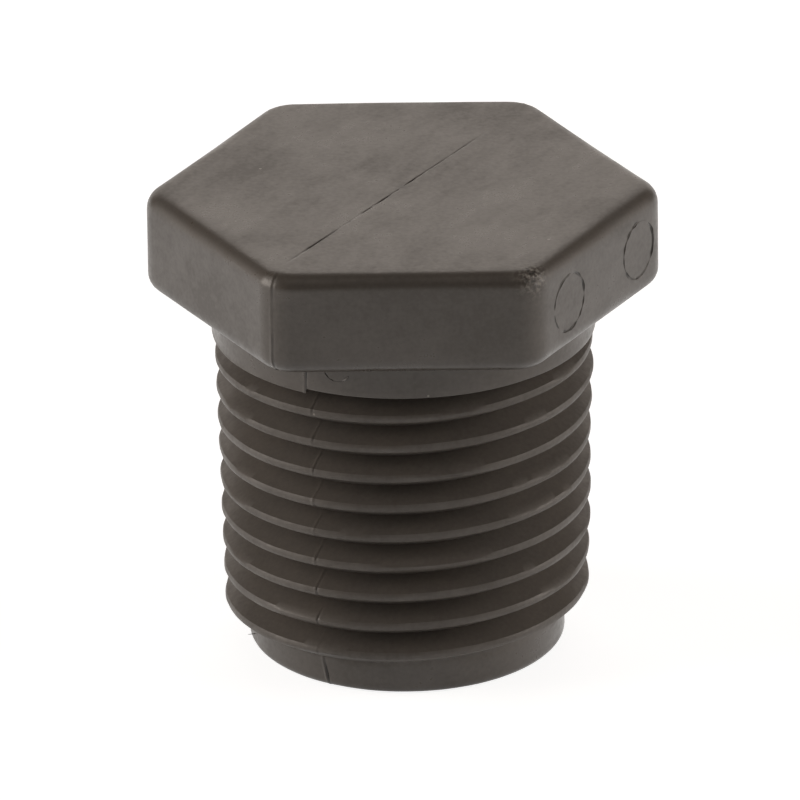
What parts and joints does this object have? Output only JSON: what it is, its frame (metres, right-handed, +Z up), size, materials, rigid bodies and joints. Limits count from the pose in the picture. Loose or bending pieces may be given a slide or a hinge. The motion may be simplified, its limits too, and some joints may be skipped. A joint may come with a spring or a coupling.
{
  "type": "threaded pipe plug",
  "caption": "Moulded plastic hexagon-head plug with a taper pipe thread, for closing a tapped pipe end or port.",
  "frame": {"origin": "middle of the pilot's end, on which the plug stands", "axes": "+Z up the thread's axis towards the head, X through two corners of the hexagon, Y square to two of its flats"},
  "size_m": [0.0282, 0.0252, 0.0269],
  "materials": {
    "plug_plastic": "moulded glass-filled polypropylene, dark warm grey, satin"
  },
  "bodies": {
    "root": {"pipe_plug": "plug_plastic"}
  },
  "joints": []
}
